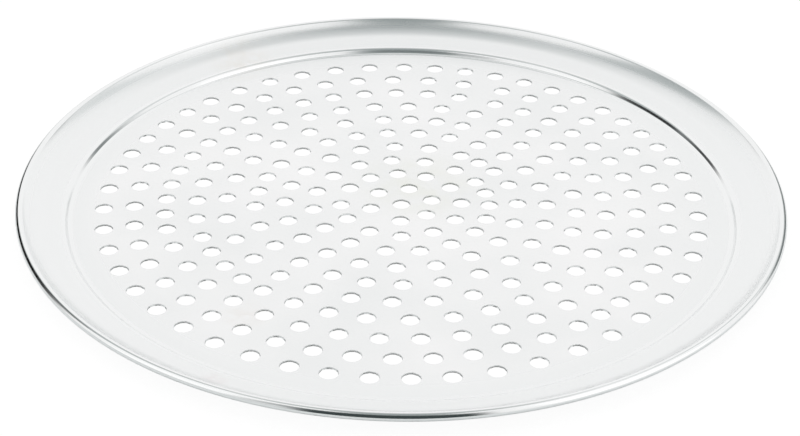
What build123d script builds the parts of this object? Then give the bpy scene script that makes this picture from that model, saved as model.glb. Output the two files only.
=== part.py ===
from build123d import *
import os
from math import acos, cos, degrees, radians, sin, tan

# A wide-rimmed pizza pan: one disc of soft aluminium sheet, punched with rings of round holes, pressed
# to a flat well, a small step and a gently rising rim, and rolled at its edge over a hoop of steel wire.
# Millimetres and degrees. The origin is the middle of the well's underside, on which the pan rests.
# Z is up, and azimuths are counted from X towards Y.

# The sheet, its size over the rolled edge, and how much of that is rim, outwards from the step's wall
sheet = 1.0
pan_diameter = 406.4
rim_width = 26.7

# The step between the well and the rim, the bends of the sheet by their inside radii, and the slopes of
# the rim and of the end of the neck, which sweeps up from the rim to the rolled edge
step_rise = 2.3
step_wall_angle = 52
foot_bend = 1.2
crest_bend = 2.2
rim_angle = 14
neck_bend = 19.5
neck_end_angle = 50

# The wire, the room round it, the gap between its ends, and the seam where the roll of sheet ends
wire_diameter = 2.2
wire_clearance = 0.13
wire_end_gap = 0.6
seam_gap = 0.4

# The punched holes, and how far inside the step's wall the centres of the outer ring lie
hole_diameter = 9.525
ring_margin = 18.3
punch_overrun = 2.0

# The disc was turned by hand between punches, so neither the rings nor the holes along them are even.
# Each ring has its radius as a share of the outer ring's, the azimuth of its first hole, and runs of
# (holes, angle between them). What is left of the turn is shared by the gaps of its last run.
ring_radius_share = [0.107, 0.204, 0.298, 0.394, 0.493, 0.592, 0.691, 0.795, 0.899, 1]
ring_start_angles = [16, 3.8, 0.5, 2.2, 1.2, 8, 5.9, 6.6, 0.4, 4.5]
ring_run_angles = [
    [(3, 60), (1, 73)],
    [(2, 31), (3, 28), (1, 32.5), (1, 26)],
    [(2, 15.5), (1, 20), (6, 22.7), (3, 24.3), (3, 21.6)],
    [(1, 18.5), (1, 14.7), (2, 11.4), (5, 17.8), (2, 16), (5, 17.8)],
    [(4, 13.9), (7, 13.1), (3, 11.5), (4, 15.2), (2, 13.6)],
    [(5, 12.1), (3, 9.4), (4, 13.7), (6, 13), (5, 12.7), (2, 13.8)],
    [(14, 10.3), (5, 9.8), (4, 8), (3, 10.1), (2, 11.3)],
    [(7, 8.3), (1, 10.1), (7, 8.5), (4, 7.7), (4, 7), (1, 8.2)],
    [(7, 8.3), (1, 7.3), (1, 9.6), (3, 8.5), (5, 7.9), (5, 8.4), (16, 7.85), (2, 6.2), (3, 7.4)],
    [(1, 7.9), (5, 6.1), (7, 6.7), (6, 7.5), (5, 6.7), (11, 7.5), (4, 7.1), (8, 7.9)],
]
last_run_counts = [2, 5, 2, 5, 6, 4, 8, 18, 2, 3]
full_turn_angle = 360

# Places along the upper side of the sheet, worked out from the sizes above
well_radius = pan_diameter / 2 - rim_width
outer_ring_radius = well_radius - ring_margin
crest_radius = well_radius + step_rise / tan(radians(step_wall_angle))
crest_height = sheet + step_rise
curl_radius = wire_diameter / 2 + wire_clearance + sheet
wire_hoop_radius = pan_diameter / 2 - curl_radius
neck_end_radius = wire_hoop_radius - curl_radius * sin(radians(neck_end_angle))
rim_end_radius = neck_end_radius - neck_bend * (sin(radians(neck_end_angle)) - sin(radians(rim_angle)))
rim_end_height = crest_height + (rim_end_radius - crest_radius) * tan(radians(rim_angle))
neck_end_height = rim_end_height + neck_bend * (cos(radians(rim_angle)) - cos(radians(neck_end_angle)))
wire_height = neck_end_height - curl_radius * cos(radians(neck_end_angle))


def curl_sweep():
    """How far round the wire the edge is rolled: until its end is a seam's gap from the neck's underside."""
    apart = neck_bend + curl_radius
    reach = neck_bend + sheet + seam_gap
    cosine = (apart**2 + curl_radius**2 - reach**2) / (2 * apart * curl_radius)
    return full_turn_angle - degrees(acos(cosine))


def corner(radius, height, slope_before, slope_after, depth):
    """Where two lines that meet at a place meet once each has moved down square to itself by a depth."""
    middle = radians((slope_before + slope_after) / 2)
    reach = depth / cos(radians((slope_after - slope_before) / 2))
    return (radius + reach * sin(middle), height - reach * cos(middle))


def sheet_line(depth):
    """The line at a depth below the sheet's upper side in half section, from the axis to the seam."""
    pressed = [
        corner(0, sheet, 0, 0, depth),
        corner(well_radius, sheet, 0, step_wall_angle, depth),
        corner(crest_radius, crest_height, step_wall_angle, rim_angle, depth),
        corner(rim_end_radius, rim_end_height, rim_angle, rim_angle, depth),
    ]
    dish = FilletPolyline(*pressed, radius=[foot_bend + depth, crest_bend + sheet - depth])
    neck = JernArc(dish @ 1, dish % 1, neck_bend + depth, neck_end_angle - rim_angle)
    curl = JernArc(neck @ 1, neck % 1, curl_radius - depth, -curl_sweep())
    return dish + neck + curl


def pan_section():
    """Half the section of the sheet, between its upper side and its underside."""
    upper = sheet_line(0)
    under = sheet_line(sheet)
    ends = [Line(upper @ end, under @ end) for end in (0, 1)]
    return Plane.XZ * make_face([*upper.edges(), *under.edges(), *ends])


def ring_azimuths(start, runs, last_holes):
    """The azimuths of one ring's holes, run by run."""
    left = full_turn_angle - sum(holes * angle for holes, angle in runs)
    azimuths = []
    azimuth = start
    for holes, angle in runs + [(last_holes, left / last_holes)]:
        for _ in range(holes):
            azimuths.append(azimuth)
            azimuth += angle
    return azimuths


def hole_places():
    """The centres of the punched holes, on the floor's underside: the middle one, then ring by ring."""
    places = [Pos(0, 0)]
    for share, start, runs, last_holes in zip(
        ring_radius_share, ring_start_angles, ring_run_angles, last_run_counts
    ):
        for azimuth in ring_azimuths(start, runs, last_holes):
            places.append(Rot(0, 0, azimuth) * Pos(outer_ring_radius * share, 0))
    return places


def perforated_pan():
    """The sheet, pressed, rolled and punched."""
    pressed = revolve(pan_section(), Axis.Z)
    punch = Pos(0, 0, sheet / 2) * Cylinder(hole_diameter / 2, sheet + 2 * punch_overrun)
    return pressed - [place * punch for place in hole_places()]


def rim_wire():
    """The wire inside the rolled edge, bent to a hoop whose two ends nearly meet."""
    round_section = Pos(wire_hoop_radius, 0, wire_height) * Rot(90, 0, 0) * Circle(wire_diameter / 2)
    gap_angle = degrees(wire_end_gap / wire_hoop_radius)
    return Rot(0, 0, gap_angle / 2) * revolve(round_section, Axis.Z, full_turn_angle - gap_angle)


os.makedirs("parts", exist_ok=True)
for node in [perforated_pan, rim_wire]:
    export_step(node(), f"parts/{node.__name__}.step")
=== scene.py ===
"""A bare aluminium pizza pan with a punched well, a small step, a wide rim and an edge rolled over wire.

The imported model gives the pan's place and size. The pan's sheet is made again here as a finer mesh with
true bends, a rolled edge and eased holes, and takes the place of the plain solid. Lengths are in metres.
"""

import logging
import math
from collections.abc import Mapping, Sequence
from dataclasses import dataclass, field
from enum import Enum
from typing import Any

import bpy
import numpy as np
from mathutils import Matrix, Vector
from mathutils.geometry import delaunay_2d_cdt


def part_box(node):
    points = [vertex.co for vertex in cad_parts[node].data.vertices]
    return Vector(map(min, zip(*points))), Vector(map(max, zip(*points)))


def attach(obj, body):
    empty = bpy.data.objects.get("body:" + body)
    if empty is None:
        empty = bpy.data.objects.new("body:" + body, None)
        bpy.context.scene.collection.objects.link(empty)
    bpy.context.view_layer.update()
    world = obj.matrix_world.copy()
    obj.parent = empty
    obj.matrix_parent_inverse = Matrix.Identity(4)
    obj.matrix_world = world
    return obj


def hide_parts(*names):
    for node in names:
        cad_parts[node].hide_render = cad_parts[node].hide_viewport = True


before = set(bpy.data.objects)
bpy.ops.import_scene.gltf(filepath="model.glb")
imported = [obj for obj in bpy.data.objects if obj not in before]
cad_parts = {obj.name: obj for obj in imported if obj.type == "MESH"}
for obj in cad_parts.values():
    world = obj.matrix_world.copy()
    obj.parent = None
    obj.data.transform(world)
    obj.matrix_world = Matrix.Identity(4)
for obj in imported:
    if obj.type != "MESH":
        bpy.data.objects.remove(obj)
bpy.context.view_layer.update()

LOG = logging.getLogger("pizza_pan")
MM = 0.001
NO_LENGTH = 0.00001 * MM
WHITE = "FFFFFF"
# The triangulation's kind of output that keeps only the triangles inside the loops
INSIDE_LOOPS = 1


class Slot(Enum):
    """The record's material slots."""

    SHEET = "aluminium_sheet"
    WIRE = "galvanised_wire"


def linear(hex_colour: str) -> tuple[float, float, float, float]:
    """Turns an sRGB hex colour into the linear colour that a shader takes.

    Args:
        hex_colour: Six hex digits, red first.

    Returns:
        Red, green and blue as linear shares of one, and an alpha of one.
    """
    shares = np.frombuffer(bytes.fromhex(hex_colour), np.uint8) / 255
    light = np.where(shares > 0.04045, ((shares + 0.055) / 1.055) ** 2.4, shares / 12.92)
    return (*light.tolist(), 1.0)


def add_node(
    tree: bpy.types.NodeTree,
    kind: str,
    settings: Mapping[str, Any] | None = None,
    inputs: Mapping[str | int, Any] | None = None,
    stops: Sequence[tuple[float, str]] = (),
) -> bpy.types.Node:
    """Adds a node with its settings, its links or values, and its colour stops.

    Args:
        tree: The node tree that takes the node.
        kind: The node's type name.
        settings: Properties of the node, by name.
        inputs: For each input, by name or number, a socket to link from or a value to set.
        stops: Positions and sRGB hex colours, for a node that holds a colour ramp.

    Returns:
        The new node.
    """
    node = tree.nodes.new(kind)
    for name, value in (settings or {}).items():
        setattr(node, name, value)
    for socket, value in (inputs or {}).items():
        if isinstance(value, bpy.types.NodeSocket):
            tree.links.new(value, node.inputs[socket])
        else:
            node.inputs[socket].default_value = value
    for index, (position, colour) in enumerate(stops):
        ramp = node.color_ramp.elements
        stop = ramp[index] if index < len(ramp) else ramp.new(position)
        stop.position = position
        stop.color = linear(colour)
    return node


def new_material(name: str) -> bpy.types.Material:
    """Makes an empty node material.

    Args:
        name: The material's name.

    Returns:
        The material.
    """
    material = bpy.data.materials.new(name)
    material.use_nodes = True
    material.node_tree.nodes.clear()
    return material


@dataclass(frozen=True)
class Stain:
    """A faint baked-on stain: where it is, how far it fades out, its patches' size and its tone."""

    middle: tuple[float, float, float]
    reach: float
    patch: float
    tone: str


@dataclass(frozen=True)
class SatinAluminium:
    """Soft aluminium sheet with its mill finish, pressed, and spun at the edge, bare and lightly used.

    To the eye it is a pale, cool metal that is softly mirror-like. The spun edge spreads its highlights
    across fine lines that run round the pan, and the flat well is a little cloudy, with faint stains.
    The tools have burnished the step and the rolled edge, and the punch has left the holes' walls rough.
    """

    well_metal: str = "F4F4F4"
    well_cloud: str = "EEEFEF"
    rim_metal: str = "F1F2F2"
    stains: tuple[Stain, ...] = (
        Stain((9 * MM, 20 * MM, 1 * MM), 44 * MM, 15 * MM, "EBECE6"),
        Stain((-76 * MM, -108 * MM, 1 * MM), 16 * MM, 7 * MM, "EEECEA"),
        Stain((-97 * MM, 156 * MM, 6 * MM), 24 * MM, 9 * MM, "ECEAE6"),
        Stain((-85 * MM, -167 * MM, 6 * MM), 10 * MM, 5 * MM, "EBE8E8"),
    )
    cloud_size: float = 70 * MM
    cloud_detail: float = 4.0
    patch_detail: float = 3.0
    noise_range: tuple[float, float] = (0.35, 0.65)
    well_radius: float = 175 * MM
    well_blend: float = 25 * MM
    burnish_start: float = 195 * MM
    edge_radius: float = 200 * MM
    step_middle: float = 177.2 * MM
    step_reach: tuple[float, float] = (1.8 * MM, 3.6 * MM)
    flat_facing: float = 0.9
    wall_facing: float = 0.4
    well_roughness: float = 0.24
    rim_roughness: float = 0.3
    edge_roughness: float = 0.16
    step_roughness: float = 0.14
    sheared_roughness: float = 0.55
    line_spacing: float = 0.35 * MM
    line_length: float = 60 * MM
    line_detail: float = 3.0
    line_height: float = 0.004 * MM
    line_strength: float = 0.5

    def material(self) -> bpy.types.Material:
        """Builds the finish on Object coordinates.

        Returns:
            The material.
        """
        made = new_material("aluminium_sheet_mill_finish_spun_edge")
        tree = made.node_tree
        place = add_node(tree, "ShaderNodeTexCoord").outputs["Object"]
        flat = add_node(
            tree, "ShaderNodeVectorMath", {"operation": "MULTIPLY"}, {0: place, 1: (1, 1, 0)}
        ).outputs["Vector"]
        from_axis = add_node(
            tree, "ShaderNodeVectorMath", {"operation": "LENGTH"}, {0: flat}
        ).outputs["Value"]
        out_of_well = add_node(
            tree, "ShaderNodeMapRange", {"interpolation_type": "SMOOTHSTEP"},
            {
                "Value": from_axis,
                "From Min": self.well_radius - self.well_blend,
                "From Max": self.well_radius,
            },
        ).outputs["Result"]
        relief = add_node(
            tree, "ShaderNodeBump", {},
            {
                "Strength": self.line_strength,
                "Distance": self.line_height,
                "Height": self.round_lines(tree, place, flat, from_axis),
            },
        )
        shader = add_node(
            tree, "ShaderNodeBsdfPrincipled", {},
            {
                "Base Color": self.tone(tree, place, out_of_well),
                "Metallic": 1.0,
                "Roughness": self.roughness(tree, from_axis, out_of_well),
                "Normal": relief.outputs["Normal"],
            },
        )
        add_node(tree, "ShaderNodeOutputMaterial", {}, {"Surface": shader.outputs["BSDF"]})
        return made

    def tone(
        self, tree: bpy.types.NodeTree, place: bpy.types.NodeSocket, out_of_well: bpy.types.NodeSocket
    ) -> bpy.types.NodeSocket:
        """The metal's colour: cloudy in the well, plain on the rim, and the stains over both.

        Args:
            tree: The material's node tree.
            place: The Object coordinates.
            out_of_well: Nought in the well and one on the rim.

        Returns:
            The colour.
        """
        well_tone = add_node(
            tree, "ShaderNodeMix", {"data_type": "RGBA"},
            {
                "Factor": self.blotches(tree, place, self.cloud_size, self.cloud_detail),
                "A": linear(self.well_cloud),
                "B": linear(self.well_metal),
            },
        )
        tone = add_node(
            tree, "ShaderNodeMix", {"data_type": "RGBA"},
            {"Factor": out_of_well, "A": well_tone.outputs["Result"], "B": linear(self.rim_metal)},
        )
        for stain in self.stains:
            tone = add_node(
                tree, "ShaderNodeMix", {"data_type": "RGBA"},
                {
                    "Factor": self.stain_share(tree, place, stain),
                    "A": tone.outputs["Result"],
                    "B": linear(stain.tone),
                },
            )
        return tone.outputs["Result"]

    def blotches(
        self, tree: bpy.types.NodeTree, place: bpy.types.NodeSocket, size: float, detail: float
    ) -> bpy.types.NodeSocket:
        """Soft noise of a given size, spread to the whole range from nought to one.

        Args:
            tree: The material's node tree.
            place: The Object coordinates.
            size: How wide a blotch is.
            detail: How many finer layers the noise has.

        Returns:
            The noise.
        """
        noise = add_node(
            tree, "ShaderNodeTexNoise", {}, {"Vector": place, "Scale": 1 / size, "Detail": detail}
        )
        return add_node(
            tree, "ShaderNodeMapRange", {},
            {
                "Value": noise.outputs["Fac"],
                "From Min": self.noise_range[0],
                "From Max": self.noise_range[1],
            },
        ).outputs["Result"]

    def stain_share(
        self, tree: bpy.types.NodeTree, place: bpy.types.NodeSocket, stain: Stain
    ) -> bpy.types.NodeSocket:
        """How much of a stain shows: one at its middle and nought at its reach, times a patchy noise.

        Args:
            tree: The material's node tree.
            place: The Object coordinates.
            stain: The stain.

        Returns:
            The share.
        """
        apart = add_node(
            tree, "ShaderNodeVectorMath", {"operation": "DISTANCE"}, {0: place, 1: stain.middle}
        )
        near = add_node(
            tree, "ShaderNodeMapRange", {"interpolation_type": "SMOOTHSTEP"},
            {"Value": apart.outputs["Value"], "From Min": stain.reach, "From Max": 0.0},
        )
        return add_node(
            tree, "ShaderNodeMath", {"operation": "MULTIPLY"},
            {0: near.outputs["Result"], 1: self.blotches(tree, place, stain.patch, self.patch_detail)},
        ).outputs["Value"]

    def roughness(
        self, tree: bpy.types.NodeTree, from_axis: bpy.types.NodeSocket, out_of_well: bpy.types.NodeSocket
    ) -> bpy.types.NodeSocket:
        """The metal's roughness: the well's and the rim's, with a change added in three places.

        The rolled edge and the step are burnished, so they are smoother. The holes' walls, known by
        facing sideways inside the well, are sheared metal, so they are rougher.

        Args:
            tree: The material's node tree.
            from_axis: The distance from the pan's axis.
            out_of_well: Nought in the well and one on the rim.

        Returns:
            The roughness.
        """
        pressed = add_node(
            tree, "ShaderNodeMapRange", {},
            {"Value": out_of_well, "To Min": self.well_roughness, "To Max": self.rim_roughness},
        )
        at_edge = add_node(
            tree, "ShaderNodeMapRange", {},
            {
                "Value": from_axis,
                "From Min": self.burnish_start,
                "From Max": self.edge_radius,
                "To Min": 0.0,
                "To Max": self.edge_roughness - self.rim_roughness,
            },
        )
        past_step = add_node(
            tree, "ShaderNodeMath", {"operation": "SUBTRACT"}, {0: from_axis, 1: self.step_middle}
        )
        from_step = add_node(
            tree, "ShaderNodeMath", {"operation": "ABSOLUTE"}, {0: past_step.outputs["Value"]}
        )
        at_step = add_node(
            tree, "ShaderNodeMapRange", {"interpolation_type": "SMOOTHSTEP"},
            {
                "Value": from_step.outputs["Value"],
                "From Min": self.step_reach[0],
                "From Max": self.step_reach[1],
                "To Min": self.step_roughness - self.rim_roughness,
                "To Max": 0.0,
            },
        )
        facing = add_node(tree, "ShaderNodeNewGeometry").outputs["Normal"]
        tilt = add_node(tree, "ShaderNodeSeparateXYZ", {}, {"Vector": facing}).outputs["Z"]
        flatness = add_node(tree, "ShaderNodeMath", {"operation": "ABSOLUTE"}, {0: tilt})
        sheared = add_node(
            tree, "ShaderNodeMapRange", {},
            {
                "Value": flatness.outputs["Value"],
                "From Min": self.flat_facing,
                "From Max": self.wall_facing,
                "To Max": self.sheared_roughness - self.well_roughness,
            },
        )
        in_well = add_node(tree, "ShaderNodeMath", {"operation": "SUBTRACT"}, {0: 1.0, 1: out_of_well})
        with_walls = add_node(
            tree, "ShaderNodeMath", {"operation": "MULTIPLY_ADD"},
            {0: sheared.outputs["Result"], 1: in_well.outputs["Value"], 2: pressed.outputs["Result"]},
        )
        burnished = add_node(
            tree, "ShaderNodeMath", {"operation": "ADD"},
            {0: at_edge.outputs["Result"], 1: at_step.outputs["Result"]},
        )
        return add_node(
            tree, "ShaderNodeMath", {"operation": "ADD"},
            {0: with_walls.outputs["Value"], 1: burnished.outputs["Value"]},
        ).outputs["Value"]

    def round_lines(
        self,
        tree: bpy.types.NodeTree,
        place: bpy.types.NodeSocket,
        flat: bpy.types.NodeSocket,
        from_axis: bpy.types.NodeSocket,
    ) -> bpy.types.NodeSocket:
        """Lines that run round the pan's axis, as a spinning tool leaves them.

        The noise has four coordinates: the direction from the axis, as two that change slowly, and the
        distance from the axis and the height, as two that change fast. So it has no seam.

        Args:
            tree: The material's node tree.
            place: The Object coordinates.
            flat: The same with no height.
            from_axis: The distance from the pan's axis.

        Returns:
            The lines as a height between nought and one.
        """
        heading = add_node(tree, "ShaderNodeVectorMath", {"operation": "NORMALIZE"}, {0: flat})
        slow = add_node(
            tree, "ShaderNodeVectorMath", {"operation": "SCALE"},
            {0: heading.outputs["Vector"], "Scale": self.edge_radius / self.line_length},
        )
        across = add_node(
            tree, "ShaderNodeMath", {"operation": "DIVIDE"}, {0: from_axis, 1: self.line_spacing}
        )
        height = add_node(tree, "ShaderNodeSeparateXYZ", {}, {"Vector": place}).outputs["Z"]
        upward = add_node(
            tree, "ShaderNodeMath", {"operation": "DIVIDE"}, {0: height, 1: self.line_spacing}
        )
        lift = add_node(tree, "ShaderNodeCombineXYZ", {}, {"Z": across.outputs["Value"]})
        joined = add_node(
            tree, "ShaderNodeVectorMath", {"operation": "ADD"},
            {0: slow.outputs["Vector"], 1: lift.outputs["Vector"]},
        )
        return add_node(
            tree, "ShaderNodeTexNoise", {"noise_dimensions": "4D"},
            {
                "Vector": joined.outputs["Vector"],
                "W": upward.outputs["Value"],
                "Scale": 1.0,
                "Detail": self.line_detail,
            },
        ).outputs["Fac"]


@dataclass(frozen=True)
class GalvanisedSteel:
    """Drawn steel wire with a thin zinc coat: a dull, slightly blue grey with small pale spangles."""

    dark_zinc: str = "8B8F93"
    pale_zinc: str = "B4B8BB"
    spangle: float = 0.8 * MM
    roughness: float = 0.45

    def material(self) -> bpy.types.Material:
        """Builds the finish on Object coordinates.

        Returns:
            The material.
        """
        made = new_material("galvanised_drawn_steel")
        tree = made.node_tree
        place = add_node(tree, "ShaderNodeTexCoord").outputs["Object"]
        cells = add_node(tree, "ShaderNodeTexVoronoi", {}, {"Vector": place, "Scale": 1 / self.spangle})
        share = add_node(tree, "ShaderNodeSeparateColor", {}, {"Color": cells.outputs["Color"]})
        tone = add_node(
            tree, "ShaderNodeMix", {"data_type": "RGBA"},
            {"Factor": share.outputs["Red"], "A": linear(self.dark_zinc), "B": linear(self.pale_zinc)},
        )
        shader = add_node(
            tree, "ShaderNodeBsdfPrincipled", {},
            {"Base Color": tone.outputs["Result"], "Metallic": 1.0, "Roughness": self.roughness},
        )
        add_node(tree, "ShaderNodeOutputMaterial", {}, {"Surface": shader.outputs["BSDF"]})
        return made


@dataclass(frozen=True)
class Bend:
    """One bend of the sheet in half section, where its upper side turns from one slope to the next.

    Slopes are in radians, and positive where the sheet rises outwards. The radius is that of the upper
    side: positive where the middle of the arc lies above the sheet, negative where it lies below.
    """

    middle: np.ndarray
    radius: float
    slope_before: float
    slope_after: float

    def side(self, depth: float, steps: int) -> tuple[np.ndarray, np.ndarray]:
        """Points along the arc at a depth below the upper side.

        At a slope s the sheet's upward facing is (-sin s, cos s), and the point lies at the middle of the
        arc less that facing times the radius and the depth together.

        Args:
            depth: How far below the upper side the points lie.
            steps: How many equal turns the arc is cut into.

        Returns:
            The points and the upward facings, as rows of distance from the axis and height.
        """
        slopes = np.linspace(self.slope_before, self.slope_after, steps + 1)
        facings = np.column_stack([-np.sin(slopes), np.cos(slopes)])
        return self.middle - (self.radius + depth) * facings, facings


@dataclass(frozen=True)
class PanSection:
    """The pan's half section: the same sizes as the solid's, with the outer size read from the frame."""

    pan_radius: float
    sheet: float = 1.0 * MM
    rim_width: float = 26.7 * MM
    step_rise: float = 2.3 * MM
    step_wall_slope: float = math.radians(52)
    foot_bend: float = 1.2 * MM
    crest_bend: float = 2.2 * MM
    rim_slope: float = math.radians(14)
    neck_bend: float = 19.5 * MM
    neck_end_slope: float = math.radians(50)
    wire_diameter: float = 2.2 * MM
    wire_clearance: float = 0.13 * MM
    seam_gap: float = 0.4 * MM
    turn_per_step: float = math.radians(9)
    hidden_turn_per_step: float = math.radians(18)

    @property
    def curl_radius(self) -> float:
        """The outer radius of the rolled edge."""
        return self.wire_diameter / 2 + self.wire_clearance + self.sheet

    @property
    def well_radius(self) -> float:
        """The radius at which the well and the step's wall would meet in a sharp corner."""
        return self.pan_radius - self.rim_width

    @property
    def web_radius(self) -> float:
        """The radius of the flat well, up to the bend at the foot of the step."""
        return self.well_radius - self.foot_bend * math.tan(self.step_wall_slope / 2)

    def curl_sweep(self) -> float:
        """How far the edge is rolled round the wire, until it is a seam's gap from the neck's underside.

        The triangle between the middles of the neck's bend and of the roll and the sheet's end has three
        known sides, and the cosine rule gives the angle that is left open.

        Returns:
            The angle in radians.
        """
        apart = self.neck_bend + self.curl_radius
        reach = self.neck_bend + self.sheet + self.seam_gap
        cosine = (apart**2 + self.curl_radius**2 - reach**2) / (2 * apart * self.curl_radius)
        return math.tau - math.acos(cosine)

    def bends(self) -> list[Bend]:
        """Places the bends from the sizes, each tangent to the straight or the bend before it.

        Returns:
            The bends from the well outwards: the step's foot and crest, the neck and the rolled edge.
        """
        wall, rim, neck = self.step_wall_slope, self.rim_slope, self.neck_end_slope
        crest_outside = self.crest_bend + self.sheet
        crest_corner = np.array(
            [self.well_radius + self.step_rise / math.tan(wall), self.sheet + self.step_rise]
        )
        hoop_radius = self.pan_radius - self.curl_radius
        neck_middle_radius = hoop_radius - (self.neck_bend + self.curl_radius) * math.sin(neck)
        rim_end_radius = neck_middle_radius + self.neck_bend * math.sin(rim)
        rim_end_height = crest_corner[1] + (rim_end_radius - crest_corner[0]) * math.tan(rim)
        neck_middle_height = rim_end_height + self.neck_bend * math.cos(rim)
        hoop_height = neck_middle_height - (self.neck_bend + self.curl_radius) * math.cos(neck)
        back = crest_outside * math.tan((wall - rim) / 2)
        crest_middle = crest_corner + [
            crest_outside * math.sin(wall) - back * math.cos(wall),
            -crest_outside * math.cos(wall) - back * math.sin(wall),
        ]
        return [
            Bend(np.array([self.web_radius, self.sheet + self.foot_bend]), self.foot_bend, 0.0, wall),
            Bend(crest_middle, -crest_outside, wall, rim),
            Bend(np.array([neck_middle_radius, neck_middle_height]), self.neck_bend, rim, neck),
            Bend(np.array([hoop_radius, hoop_height]), -self.curl_radius, neck, neck - self.curl_sweep()),
        ]

    def side(self, depth: float, turn_per_step: float) -> tuple[np.ndarray, np.ndarray]:
        """One side of the sheet from the well's edge to the seam, bend by bend.

        Where one bend starts at the end of the last, their common point is taken once.

        Args:
            depth: How far below the upper side it lies.
            turn_per_step: The most that the line turns from one point to the next.

        Returns:
            The points and the upward facings, as rows of distance from the axis and height.
        """
        arcs = []
        for bend in self.bends():
            steps = math.ceil(abs(bend.slope_after - bend.slope_before) / turn_per_step)
            arcs.append(bend.side(depth, steps))
        points, facings = (np.concatenate(kind) for kind in zip(*arcs))
        apart = np.hypot(*np.diff(points, axis=0, prepend=0).T) > NO_LENGTH
        return points[apart], facings[apart]

    def outline(self) -> tuple[np.ndarray, np.ndarray, int]:
        """The whole outline, out along the upper side and back along the underside.

        Returns:
            The points, the facings away from the metal, and the number of points on the upper side.
        """
        upper, upper_facings = self.side(0.0, self.turn_per_step)
        under, under_facings = self.side(self.sheet, self.hidden_turn_per_step)
        return (
            np.concatenate([upper, under[::-1]]),
            np.concatenate([upper_facings, -under_facings[::-1]]),
            len(upper),
        )


@dataclass
class MeshParts:
    """Vertices, triangles and quads, with a normal for each corner of each face."""

    places: list[np.ndarray] = field(default_factory=list)
    faces: list[np.ndarray] = field(default_factory=list)
    facings: list[np.ndarray] = field(default_factory=list)
    count: int = 0

    def add_places(self, places: np.ndarray) -> int:
        """Adds vertices.

        Args:
            places: The vertices, in any shape whose last axis is X, Y and Z.

        Returns:
            The number of the first.
        """
        first = self.count
        self.places.append(places.reshape(-1, 3))
        self.count += self.places[-1].shape[0]
        return first

    def add_faces(self, faces: np.ndarray, facings: np.ndarray) -> None:
        """Adds faces of one kind with the normals of their corners.

        Args:
            faces: Vertex numbers, a row for each face.
            facings: A normal for each corner of each face.
        """
        self.faces.append(faces)
        self.facings.append(np.broadcast_to(facings, (*faces.shape, 3)))

    def mesh(self, name: str) -> bpy.types.Mesh:
        """Puts everything into one mesh with its normals.

        Args:
            name: The mesh's name.

        Returns:
            The mesh.
        """
        mesh = bpy.data.meshes.new(name)
        places = np.concatenate(self.places)
        corners = np.concatenate([faces.ravel() for faces in self.faces])
        totals = np.concatenate([np.full(len(faces), faces.shape[1]) for faces in self.faces])
        mesh.vertices.add(len(places))
        mesh.vertices.foreach_set("co", places.ravel())
        mesh.loops.add(len(corners))
        mesh.loops.foreach_set("vertex_index", corners)
        mesh.polygons.add(len(totals))
        mesh.polygons.foreach_set("loop_start", np.concatenate([[0], np.cumsum(totals)[:-1]]))
        mesh.polygons.foreach_set("use_smooth", np.ones(len(totals), bool))
        mesh.update(calc_edges=True)
        normals = np.concatenate([facings.reshape(-1, 3) for facings in self.facings])
        mesh.normals_split_custom_set(normals.tolist())
        return mesh


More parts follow.
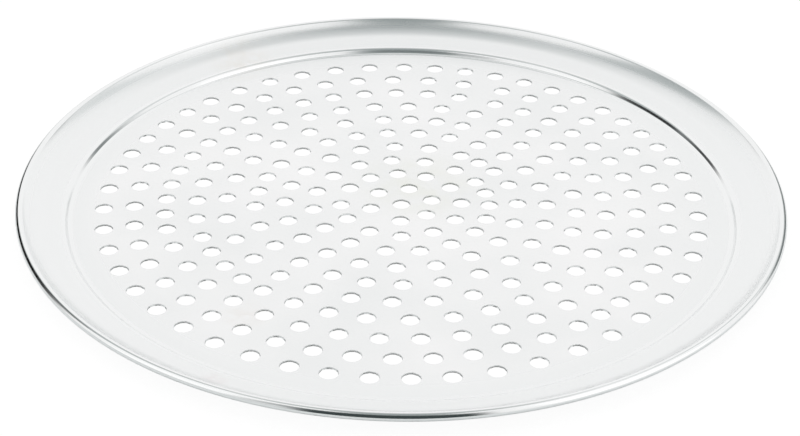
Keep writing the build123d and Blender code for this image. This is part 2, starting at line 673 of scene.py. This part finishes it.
@dataclass
class PanSheet:
    """The pan's one piece of sheet: the punched web, the step, the rim and the rolled edge."""

    node: str = "perforated_pan"
    hole_radius: float = 9.525 * MM / 2
    hole_easing: float = 0.15 * MM
    round_steps: int = 480
    hole_steps: int = 32
    vote_grid_decimals: int = 5
    upright_limit: float = 0.1
    finish: SatinAluminium = SatinAluminium()
    section: PanSection = field(init=False)

    def __post_init__(self) -> None:
        """Takes the outer radius from the frame, as the smallest of the solid's four reaches."""
        low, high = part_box(self.node)
        self.section = PanSection(pan_radius=min(high.x, high.y, -low.x, -low.y))

    def build(self) -> bpy.types.Object:
        """Makes the sheet, dresses it and lets it stand for the solid.

        Returns:
            The sheet's object.
        """
        parts = MeshParts()
        web_edges = self.add_formed_edge(parts)
        self.add_web(parts, web_edges)
        sheet = bpy.data.objects.new("punched_pan_sheet", parts.mesh("punched_pan_sheet"))
        bpy.context.scene.collection.objects.link(sheet)
        sheet.data.materials.append(self.finish.material())
        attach(sheet, "root")
        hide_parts(self.node)
        LOG.info("%s: %d faces in slot %s", sheet.name, len(sheet.data.polygons), Slot.SHEET.value)
        return sheet

    def headings(self, steps: int) -> np.ndarray:
        """Unit directions round a full turn, as rows of X and Y."""
        angles = np.arange(steps) * (math.tau / steps)
        return np.column_stack([np.cos(angles), np.sin(angles)])

    def add_formed_edge(self, parts: MeshParts) -> tuple[np.ndarray, np.ndarray]:
        """Turns the half section round the axis: a point (r, z) at heading h goes to (r h, z).

        Args:
            parts: The mesh that takes the surface.

        Returns:
            The vertex numbers of the web's upper and under edges.
        """
        outline, outward, upper_count = self.section.outline()
        headings = self.headings(self.round_steps)
        flat = outline[:, None, :1] * headings
        heights = np.broadcast_to(outline[:, None, 1:], (*flat.shape[:2], 1))
        first = parts.add_places(np.concatenate([flat, heights], axis=2))
        tilted = np.concatenate(
            [outward[:, None, :1] * headings, np.broadcast_to(outward[:, None, 1:], (*flat.shape[:2], 1))],
            axis=2,
        )
        numbers = first + np.arange(len(outline) * self.round_steps).reshape(len(outline), -1)
        inner, outer = numbers[:-1], numbers[1:]
        faces = np.stack([inner, outer, np.roll(outer, -1, 1), np.roll(inner, -1, 1)], axis=2)
        near, far = tilted[:-1], tilted[1:]
        facings = np.stack([near, far, np.roll(far, -1, 1), np.roll(near, -1, 1)], axis=2)
        along = outline[upper_count] - outline[upper_count - 1]
        end_facing = np.array([along[1], -along[0]]) / np.hypot(*along)
        seam = upper_count - 1
        ends = np.concatenate(
            [end_facing[0] * headings, np.full((self.round_steps, 1), end_facing[1])], axis=1
        )
        facings[seam] = np.stack([ends, ends, np.roll(ends, -1, 0), np.roll(ends, -1, 0)], axis=1)
        parts.add_faces(faces.reshape(-1, 4), facings.reshape(-1, 4, 3))
        return numbers[0], numbers[-1]

    def add_web(self, parts: MeshParts, web_edges: tuple[np.ndarray, np.ndarray]) -> None:
        """Fills the flat web round its holes, and gives each hole its eased mouth and its wall.

        A hole's point at heading h lies at its middle plus h times a radius: the mouth's at the sheet's
        upper side, the wall's top an easing lower and inwards, and the wall's foot at the underside.

        Args:
            parts: The mesh that takes the web.
            web_edges: The vertex numbers of the web's upper and under edges.
        """
        headings = self.headings(self.hole_steps)
        middles = self.hole_middles()
        sheet, easing = self.section.sheet, self.hole_easing
        rings = []
        for radius, height in (
            (self.hole_radius + easing, sheet),
            (self.hole_radius, sheet - easing),
            (self.hole_radius, 0.0),
        ):
            flat = middles[:, None] + radius * headings
            places = np.concatenate([flat, np.full((*flat.shape[:2], 1), height)], axis=2)
            first = parts.add_places(places)
            rings.append(first + np.arange(places.shape[0] * self.hole_steps).reshape(-1, self.hole_steps))
        mouth, wall_top, wall_foot = rings
        inward = np.broadcast_to(np.column_stack([-headings, np.zeros(self.hole_steps)]), (*mouth.shape, 3))
        upward = np.broadcast_to([0.0, 0.0, 1.0], inward.shape)
        for upper, lower, upper_facing in ((mouth, wall_top, upward), (wall_top, wall_foot, inward)):
            faces = np.stack([upper, np.roll(upper, -1, 1), np.roll(lower, -1, 1), lower], axis=2)
            facings = np.stack(
                [upper_facing, np.roll(upper_facing, -1, 1), np.roll(inward, -1, 1), inward], axis=2
            )
            parts.add_faces(faces.reshape(-1, 4), facings.reshape(-1, 4, 3))
        triangles = self.web_triangles(middles, headings)
        upper_numbers = np.concatenate([web_edges[0], mouth.ravel()])
        under_numbers = np.concatenate([web_edges[1], wall_foot.ravel()])
        parts.add_faces(upper_numbers[triangles], np.array([0.0, 0.0, 1.0]))
        parts.add_faces(under_numbers[triangles[:, ::-1]], np.array([0.0, 0.0, -1.0]))
        LOG.info("web: %d holes, %d triangles a side", len(middles), len(triangles))

    def web_triangles(self, middles: np.ndarray, headings: np.ndarray) -> np.ndarray:
        """Triangles between the web's edge and the mouths of its holes, anticlockwise from above.

        Args:
            middles: The middles of the holes.
            headings: Unit directions round a hole.

        Returns:
            Rows of three, numbered along the web's edge and then along hole after hole.
        """
        edge = self.section.web_radius * self.headings(self.round_steps)
        mouths = (middles[:, None] + (self.hole_radius + self.hole_easing) * headings).reshape(-1, 2)
        points = np.concatenate([edge, mouths])
        loops = [list(range(self.round_steps))]
        starts = range(self.round_steps, len(points), self.hole_steps)
        loops += [list(range(start, start + self.hole_steps)) for start in starts]
        corners = [Vector(point) for point in points.tolist()]
        _, _, faces, sources, _, _ = delaunay_2d_cdt(corners, [], loops, INSIDE_LOOPS, 0.0)
        numbers = np.array([source[0] for source in sources])
        triangles = numbers[np.array(faces)]
        centres = points[triangles].mean(axis=1)
        nearest = np.linalg.norm(centres[:, None] - middles[None], axis=2).min(axis=1)
        kept = triangles[nearest > self.hole_radius]
        first, second, third = np.moveaxis(points[kept], 1, 0)
        area = np.cross(second - first, third - first)
        kept[area < 0] = kept[area < 0][:, ::-1]
        return kept

    def hole_middles(self) -> np.ndarray:
        """The middles of the punched holes, read from the solid's mesh in the frame.

        Each face of a hole's wall is upright and a chord of the hole's circle, so the middle lies on the
        face's normal, at the side of a right triangle whose long side is the radius and whose short side
        is half the chord. The faces of one hole agree to a few micrometres, and the first is kept.

        Returns:
            A row of X and Y for each hole.
        """
        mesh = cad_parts[self.node].data
        places = np.empty(len(mesh.vertices) * 3)
        mesh.vertices.foreach_get("co", places)
        numbers = np.empty(len(mesh.loops), int)
        mesh.loops.foreach_get("vertex_index", numbers)
        corners = places.reshape(-1, 3)[numbers.reshape(-1, 3)]
        normals = np.cross(corners[:, 1] - corners[:, 0], corners[:, 2] - corners[:, 0])
        normals /= np.maximum(np.linalg.norm(normals, axis=1, keepdims=True), np.finfo(float).tiny)
        reach = np.hypot(corners[..., 0], corners[..., 1]).max(axis=1)
        inside = reach < self.section.web_radius - self.hole_radius / 2
        upright = inside & (np.abs(normals[:, 2]) < self.upright_limit)
        walls = corners[upright][..., :2]
        low, high = walls.min(axis=1), walls.max(axis=1)
        half_chord = np.linalg.norm(high - low, axis=1) / 2
        length = np.sqrt(self.hole_radius**2 - half_chord**2)
        votes = (low + high) / 2 + normals[upright][:, :2] * length[:, None]
        votes = np.unique(np.round(votes, self.vote_grid_decimals), axis=0)
        near = np.linalg.norm(votes[:, None] - votes[None], axis=2) < self.hole_radius
        return votes[near.argmax(axis=1) == np.arange(len(votes))]


@dataclass
class RimWire:
    """The hoop of wire inside the rolled edge, which keeps its solid."""

    node: str = "rim_wire"
    finish: GalvanisedSteel = GalvanisedSteel()

    def build(self) -> bpy.types.Object:
        """Gives the wire its finish.

        Returns:
            The wire's object.
        """
        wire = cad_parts[self.node]
        wire.data.materials.clear()
        wire.data.materials.append(self.finish.material())
        LOG.info("%s: %d faces in slot %s", wire.name, len(wire.data.polygons), Slot.WIRE.value)
        return wire


@dataclass(frozen=True)
class Card:
    """An upright or flat card with soft edges, beside or above the pan, that only its metal mirrors.

    A dark one stands for a gap between the soft lights, and a bright one for a light's own face. Its
    width runs sideways and its height upwards, until it is turned about its facing, in radians.
    """

    name: str
    middle: tuple[float, float, float]
    facing: tuple[float, float, float]
    half_width: float
    half_height: float
    tone: str
    strength: float = 1.0
    soft_share: float = 0.35
    turn: float = 0.0

    def build(self) -> None:
        """Makes the card: its corners lie a half width and a half height from its middle."""
        ahead = np.array(self.facing) / np.linalg.norm(self.facing)
        upward = (0.0, 0.0, 1.0) if abs(ahead[2]) < 1 else (0.0, 1.0, 0.0)
        side = np.cross(upward, ahead)
        side /= np.linalg.norm(side)
        rise = np.cross(ahead, side)
        side, rise = (
            math.cos(self.turn) * side + math.sin(self.turn) * rise,
            math.cos(self.turn) * rise - math.sin(self.turn) * side,
        )
        spread = np.array([(-1, -1), (1, -1), (1, 1), (-1, 1)])
        corners = (
            np.array(self.middle)
            + spread[:, :1] * side * self.half_width
            + spread[:, 1:] * rise * self.half_height
        )
        mesh = bpy.data.meshes.new(self.name)
        mesh.from_pydata(corners.tolist(), [], [(0, 1, 2, 3)])
        across = mesh.uv_layers.new(name="across")
        across.data.foreach_set("uv", spread.astype(float).ravel())
        mesh.materials.append(self.material())
        card = bpy.data.objects.new(self.name, mesh)
        bpy.context.scene.collection.objects.link(card)
        for kind in ("camera", "diffuse", "transmission", "volume_scatter", "shadow"):
            setattr(card, f"visible_{kind}", False)

    def material(self) -> bpy.types.Material:
        """A plain glow that fades out towards the card's edges.

        Returns:
            The material.
        """
        made = new_material(self.name)
        tree = made.node_tree
        across = add_node(tree, "ShaderNodeTexCoord").outputs["UV"]
        folded = add_node(tree, "ShaderNodeVectorMath", {"operation": "ABSOLUTE"}, {0: across})
        apart = add_node(tree, "ShaderNodeSeparateXYZ", {}, {"Vector": folded.outputs["Vector"]}).outputs
        outermost = add_node(
            tree, "ShaderNodeMath", {"operation": "MAXIMUM"}, {0: apart["X"], 1: apart["Y"]}
        )
        shown = add_node(
            tree, "ShaderNodeMapRange", {"interpolation_type": "SMOOTHSTEP"},
            {"Value": outermost.outputs["Value"], "From Min": 1.0, "From Max": 1 - self.soft_share},
        )
        clear = add_node(tree, "ShaderNodeBsdfTransparent")
        glow = add_node(
            tree, "ShaderNodeEmission", {}, {"Color": linear(self.tone), "Strength": self.strength}
        )
        both = add_node(
            tree, "ShaderNodeMixShader", {},
            {0: shown.outputs["Result"], 1: clear.outputs["BSDF"], 2: glow.outputs["Emission"]},
        )
        add_node(tree, "ShaderNodeOutputMaterial", {}, {"Surface": both.outputs["Shader"]})
        return made


@dataclass(frozen=True)
class Studio:
    """A plain white floor and surround, cards for the lights and the gaps between them, and the camera.

    The floor has one tone for the camera, one for the metal and one for all else. In the metal it has
    painted light and shade: it is pale near the pan, which gives way over the bright reach to painted
    shade that changes across the shade reach, and it has a painted glow for rays shorter than the touch
    reach.
    """

    floor_reach: float = 6.0
    floor_gap: float = 0.02 * MM
    floor_tone: str = "E6E6E6"
    camera_glow: float = 0.93
    camera_tone: str = "565656"
    # Painted glow: in the metal's mirror the floor glows faintly where a ray is shorter than the touch
    # reach, which lightens the shadow under the well.
    touch_reach: float = 0.2 * MM
    touch_glow: float = 0.16
    # Painted light: the floor as the metal mirrors it is paler near the pan.
    near_pan_painted_light: str = "EDF0F0"
    bright_reach: tuple[float, float] = (0.215, 0.26)
    shade_reach: float = 0.3
    # Painted shade: the floor as the metal mirrors it is grey from the left to just left of the middle, and
    # near white to the right.
    mirrored_floor_painted_shade: tuple[tuple[float, str], ...] = (
        (0.0, "DADCDC"), (0.45, "CCD0D0"), (0.62, "E6E8E8"), (0.75, "FDFDFD"),
    )
    camera_place: tuple[float, float, float] = (-0.0006, -0.9472, 0.5759)
    camera_aim: tuple[float, float, float] = (-0.0006, -0.0135, 0.0005)
    camera_roll: float = math.radians(0.834)
    focal_length_share: float = 2.5875
    cards: tuple[Card, ...] = (
        Card("gap_left", (-0.58, 0.36, 0.29), (1.0, 0.0, 0.0), 0.38, 0.12, "040505", 1.0, 0.25, -0.4),
        Card("gap_left_low", (-0.573, 0.341, 0.12), (1.0, -0.3, 0.0), 0.395, 0.20, "060808", 1.0, 0.4),
        Card("gap_left_upper", (-0.61, 0.30, 0.95), (1.0, -0.4, 0.0), 0.32, 0.90, "B2B8B8", 1.0, 0.6),
        Card("gap_right", (0.555, 0.404, 0.12), (-1.0, -0.55, 0.0), 0.29, 0.25, "7A8080", 1.0, 0.5),
        Card("gap_right_upper", (0.54, 0.46, 0.75), (-1.0, -0.6, 0.0), 0.20, 0.55, "D8DCDC", 1.0, 0.7),
        Card("gap_at_camera", (-0.06, -0.93, 1.2), (0.0, 1.0, 0.0), 0.40, 0.34, "747C7C", 1.0, 0.35),
        Card("gap_before_pan", (-0.006, -0.245, 0.02), (0.0, 1.0, 0.0), 0.08, 0.075, "3E4646", 1.0, 0.35),
        Card("gap_above_camera", (0.02, -0.95, 2.15), (0.0, 1.0, 0.0), 0.52, 1.40, "9AA1A1", 1.0, 0.5),
        Card("gap_left_of_camera", (-0.5, -0.97, 0.9), (0.0, 1.0, 0.0), 0.48, 1.2, "A0A4A4", 1.0, 0.9),
        Card("gap_overhead", (0.0, -0.45, 1.4), (0.0, 0.0, -1.0), 0.32, 0.80, "989F9F", 1.0, 0.5),
        Card("gap_across", (0.0, 0.05, 1.42), (0.0, 0.0, -1.0), 0.75, 0.30, "B2B7B7", 1.0, 0.7),
        Card("gap_behind", (0.0, 0.38, 1.44), (0.0, 0.0, -1.0), 0.8, 0.72, "C8CCCC", 1.0, 0.9),
        Card("light_left", (-1.1, -0.6, 0.6), (1.0, 0.58, 0.0), 0.5, 0.8, WHITE, 1.12),
        Card("light_right", (0.95, -0.5, 0.6), (-1.0, 0.53, 0.0), 0.6, 0.8, WHITE, 1.25),
    )

    def build(self) -> None:
        """Makes the floor, the white surround, the cards and the camera."""
        self.lay_floor()
        self.whiten_surround()
        for card in self.cards:
            card.build()
        self.place_camera()
        bpy.context.scene.view_settings.view_transform = "Standard"
        LOG.info("studio: floor, surround, %d cards and camera", len(self.cards))

    def lay_floor(self) -> None:
        """Lays the white floor just under the pan."""
        reach = self.floor_reach
        corners = [(-reach, -reach), (reach, -reach), (reach, reach), (-reach, reach)]
        mesh = bpy.data.meshes.new("studio_floor")
        mesh.from_pydata([(x, y, -self.floor_gap) for x, y in corners], [], [(0, 1, 2, 3)])
        floor = bpy.data.objects.new("studio_floor", mesh)
        bpy.context.scene.collection.objects.link(floor)
        mesh.materials.append(self.floor_material())

    def floor_material(self) -> bpy.types.Material:
        """A white floor that keeps a faint shadow, and that lets the view from below through.

        The camera sees it nearly glowing white, so that only a little of the shadow shows. The metal
        mirrors its painted light and shade, and under the well a faint painted glow as well, because the
        underside nearly touches the floor and would be black in a view from below.

        Returns:
            The material.
        """
        made = new_material("matt_white_floor")
        tree = made.node_tree
        rays = add_node(tree, "ShaderNodeLightPath").outputs
        mirrored = add_node(
            tree, "ShaderNodeMath", {"operation": "ADD"},
            {0: rays["Is Glossy Ray"], 1: rays["Is Transmission Ray"]},
        )
        # Painted glow under the well, for the metal's shortest rays.
        touching = add_node(
            tree, "ShaderNodeMapRange", {},
            {
                "Value": rays["Ray Length"],
                "From Min": self.touch_reach,
                "From Max": 0.0,
                "To Max": self.touch_glow,
            },
        )
        top = add_node(tree, "ShaderNodeBsdfDiffuse", {}, {"Color": linear(self.floor_tone)})
        seen = (
            (mirrored.outputs["Value"], touching.outputs["Result"], self.mirrored_painted_light_and_shade(tree)),
            (rays["Is Camera Ray"], self.camera_glow, linear(self.camera_tone)),
        )
        for who, glow_share, lit_tone in seen:
            glow = add_node(tree, "ShaderNodeEmission", {}, {"Color": linear(WHITE), "Strength": glow_share})
            matt = add_node(tree, "ShaderNodeBsdfDiffuse", {}, {"Color": lit_tone})
            white = add_node(
                tree, "ShaderNodeAddShader", {}, {0: glow.outputs["Emission"], 1: matt.outputs["BSDF"]}
            )
            top = add_node(
                tree, "ShaderNodeMixShader", {}, {0: who, 1: top.outputs[0], 2: white.outputs["Shader"]}
            )
        under = add_node(tree, "ShaderNodeBsdfTransparent")
        back = add_node(tree, "ShaderNodeNewGeometry").outputs["Backfacing"]
        both = add_node(
            tree, "ShaderNodeMixShader", {}, {0: back, 1: top.outputs[0], 2: under.outputs["BSDF"]}
        )
        add_node(tree, "ShaderNodeOutputMaterial", {}, {"Surface": both.outputs["Shader"]})
        return made

    def mirrored_painted_light_and_shade(self, tree: bpy.types.NodeTree) -> bpy.types.NodeSocket:
        """The floor's tone as the metal mirrors it: painted light round the pan, then painted shade that
        changes from left to right.

        Args:
            tree: The floor's node tree.

        Returns:
            The colour.
        """
        place = add_node(tree, "ShaderNodeTexCoord").outputs["Object"]
        across = add_node(
            tree, "ShaderNodeMapRange", {},
            {
                "Value": add_node(tree, "ShaderNodeSeparateXYZ", {}, {"Vector": place}).outputs["X"],
                "From Min": -self.shade_reach,
                "From Max": self.shade_reach,
            },
        )
        # Painted shade: grey on the left, near white on the right.
        shaded = add_node(
            tree, "ShaderNodeValToRGB", {}, {"Fac": across.outputs["Result"]}, stops=self.mirrored_floor_painted_shade
        )
        away = add_node(tree, "ShaderNodeVectorMath", {"operation": "LENGTH"}, {0: place})
        beside = add_node(
            tree, "ShaderNodeMapRange", {},
            {
                "Value": away.outputs["Value"],
                "From Min": self.bright_reach[0],
                "From Max": self.bright_reach[1],
            },
        )
        # Painted light: paler within the bright reach of the pan's axis.
        return add_node(
            tree, "ShaderNodeMix", {"data_type": "RGBA"},
            {
                "Factor": beside.outputs["Result"],
                "A": linear(self.near_pan_painted_light),
                "B": shaded.outputs["Color"],
            },
        ).outputs["Result"]

    def whiten_surround(self) -> None:
        """Plain white all round."""
        world = bpy.data.worlds.new("studio_surround")
        bpy.context.scene.world = world
        world.use_nodes = True
        tree = world.node_tree
        tree.nodes.clear()
        sky = add_node(tree, "ShaderNodeBackground", {}, {"Color": linear(WHITE), "Strength": 1.0})
        add_node(tree, "ShaderNodeOutputWorld", {}, {"Surface": sky.outputs["Background"]})

    def place_camera(self) -> None:
        """Puts the camera where the photograph was taken from, turned by its slight roll."""
        lens = bpy.data.cameras.new("photo_view")
        lens.lens = lens.sensor_width * self.focal_length_share
        camera = bpy.data.objects.new("photo_view", lens)
        bpy.context.scene.collection.objects.link(camera)
        place, aim = Vector(self.camera_place), Vector(self.camera_aim)
        turned = (aim - place).to_track_quat("-Z", "Y").to_matrix().to_4x4()
        camera.matrix_world = Matrix.Translation(place) @ turned @ Matrix.Rotation(self.camera_roll, 4, "Z")
        bpy.context.scene.camera = camera


def main() -> None:
    """Builds the pan's pieces and the studio, and logs each."""
    logging.basicConfig(level=logging.INFO, format="%(message)s")
    PanSheet().build()
    RimWire().build()
    Studio().build()


if __name__ == "__main__":
    main()
